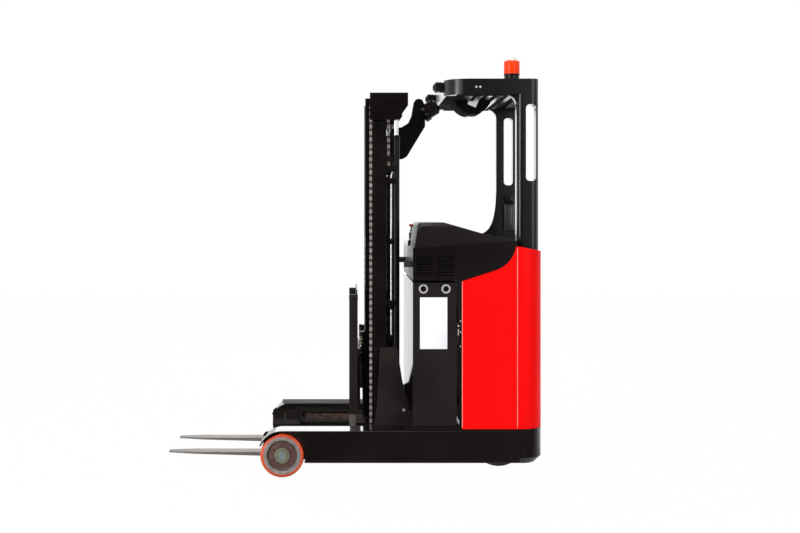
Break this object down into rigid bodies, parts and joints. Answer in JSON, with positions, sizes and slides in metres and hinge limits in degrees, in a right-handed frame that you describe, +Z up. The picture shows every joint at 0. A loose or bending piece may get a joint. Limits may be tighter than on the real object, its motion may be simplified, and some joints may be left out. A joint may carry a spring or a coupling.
{
  "type": "reach truck",
  "caption": "Compact stand-on reach truck with a reaching triple-stage mast, tilting forks, straddling support legs, side battery and overhead guard.",
  "frame": {"origin": "on the floor, half way along the overall length and half way across the width", "axes": "+Z up, forks point along -X, the battery's labelled left side faces -Y"},
  "size_m": [2.168, 1.1, 2.398],
  "materials": {
    "red_paint": "gloss",
    "black_paint": "satin",
    "battery_paint": "satin",
    "mast_steel": "satin",
    "fork_steel": "satin",
    "bare_steel": "brushed",
    "rod_chrome": "polished",
    "urethane": "satin",
    "drive_rubber": "matt",
    "black_plastic": "matt",
    "amber_plastic": "gloss",
    "red_plastic": "gloss",
    "mat_rubber": "ribbed",
    "cast_grey": "machined"
  },
  "bodies": {
    "chassis": {"support_legs": "black_paint", "load_axles": "bare_steel", "base_frame": "black_paint", "drive_turret": "black_paint", "battery_case": "battery_paint", "bulkhead": "black_paint", "partition_wall": "black_paint", "platform_mat": "mat_rubber", "console_housing": "black_plastic", "console_top": "black_plastic", "dash": "black_plastic", "emergency_stop": "red_plastic", "control_levers": "black_plastic", "pedals": "mat_rubber", "overhead_guard": "black_paint", "roof_console": "black_plastic", "beacon": "amber_plastic", "roof_lamp": "black_plastic", "pillar_fairing": "black_plastic", "back_pad": "black_plastic", "buffers": "mat_rubber", "side_panel_left": "red_paint", "side_panel_right": "red_paint", "rear_corner_left": "red_paint", "rear_corner_right": "red_paint", "reach_barrel": "mast_steel"},
    "load_wheel_left": {"load_hub_left": "cast_grey", "load_tyre_left": "urethane"},
    "load_wheel_right": {"load_hub_right": "cast_grey", "load_tyre_right": "urethane"},
    "steer_unit": {"drive_yoke": "cast_grey", "drive_motor": "mast_steel"},
    "drive_wheel": {"drive_hub": "cast_grey", "drive_tyre": "drive_rubber"},
    "caster_swivel": {"caster_fork": "cast_grey"},
    "caster_pair": {"caster_wheels": "drive_rubber"},
    "hand_wheel": {"steering_wheel": "black_plastic"},
    "reach_carriage": {"reach_frame": "mast_steel", "reach_rollers": "bare_steel", "reach_rod": "rod_chrome", "outer_mast": "mast_steel", "lift_barrels": "mast_steel", "lamp_arm": "mast_steel", "work_lamp": "black_plastic"},
    "middle_stage": {"middle_mast": "mast_steel", "mast_head": "mast_steel", "stage_sheaves": "bare_steel", "stage_chains": "bare_steel", "lift_rods": "rod_chrome"},
    "inner_stage": {"inner_mast": "mast_steel", "free_lift_barrel": "mast_steel"},
    "free_lift": {"crosshead": "mast_steel", "carriage_chains": "bare_steel"},
    "lift_carriage": {"fork_carriage": "mast_steel"},
    "tilt_frame": {"fork_frame": "fork_steel", "load_backrest": "fork_steel", "forks": "fork_steel"}
  },
  "joints": [
    {"name": "reach", "type": "slide", "parent": "chassis", "child": "reach_carriage", "axis": [-1, 0, 0], "range_m": [0, 0.55]},
    {"name": "mast_lift", "type": "slide", "parent": "reach_carriage", "child": "middle_stage", "axis": [0, 0, 1], "range_m": [0, 1.35]},
    {"name": "inner_lift", "type": "slide", "parent": "middle_stage", "child": "inner_stage", "axis": [0, 0, 1], "range_m": [0, 1.35]},
    {"name": "carriage_lift", "type": "slide", "parent": "inner_stage", "child": "lift_carriage", "axis": [0, 0, 1], "range_m": [0, 1.35]},
    {"name": "free_lift_rod", "type": "slide", "parent": "inner_stage", "child": "free_lift", "axis": [0, 0, 1], "range_m": [0, 0.675]},
    {"name": "fork_tilt", "type": "hinge", "parent": "lift_carriage", "child": "tilt_frame", "pos_m": [0.075, 0, 0.64], "axis": [0, 1, 0], "range_deg": [-2, 4]},
    {"name": "load_wheel_left_spin", "type": "hinge", "parent": "chassis", "child": "load_wheel_left", "pos_m": [-0.395, -0.5, 0.125], "axis": [0, 1, 0], "continuous": true},
    {"name": "load_wheel_right_spin", "type": "hinge", "parent": "chassis", "child": "load_wheel_right", "pos_m": [-0.395, 0.5, 0.125], "axis": [0, 1, 0], "continuous": true},
    {"name": "steer", "type": "hinge", "parent": "chassis", "child": "steer_unit", "pos_m": [0.868, -0.1975, 0.4], "axis": [0, 0, 1], "range_deg": [-95, 95]},
    {"name": "drive_wheel_spin", "type": "hinge", "parent": "steer_unit", "child": "drive_wheel", "pos_m": [0.868, -0.1975, 0.1595], "axis": [0, 1, 0], "continuous": true},
    {"name": "caster_turn", "type": "hinge", "parent": "chassis", "child": "caster_swivel", "pos_m": [0.9, 0.2449, 0.26], "axis": [0, 0, 1], "continuous": true},
    {"name": "caster_spin", "type": "hinge", "parent": "caster_swivel", "child": "caster_pair", "pos_m": [0.94424, 0.2449, 0.07465], "axis": [0, 1, 0], "continuous": true},
    {"name": "hand_wheel_turn", "type": "hinge", "parent": "chassis", "child": "hand_wheel", "pos_m": [0.688, 0.12, 1.352], "axis": [0, 0, 1], "continuous": true}
  ],
  "couplings": [
    {"joint": "inner_lift", "follows": "mast_lift", "ratio": 1},
    {"joint": "free_lift_rod", "follows": "carriage_lift", "ratio": 0.5}
  ]
}
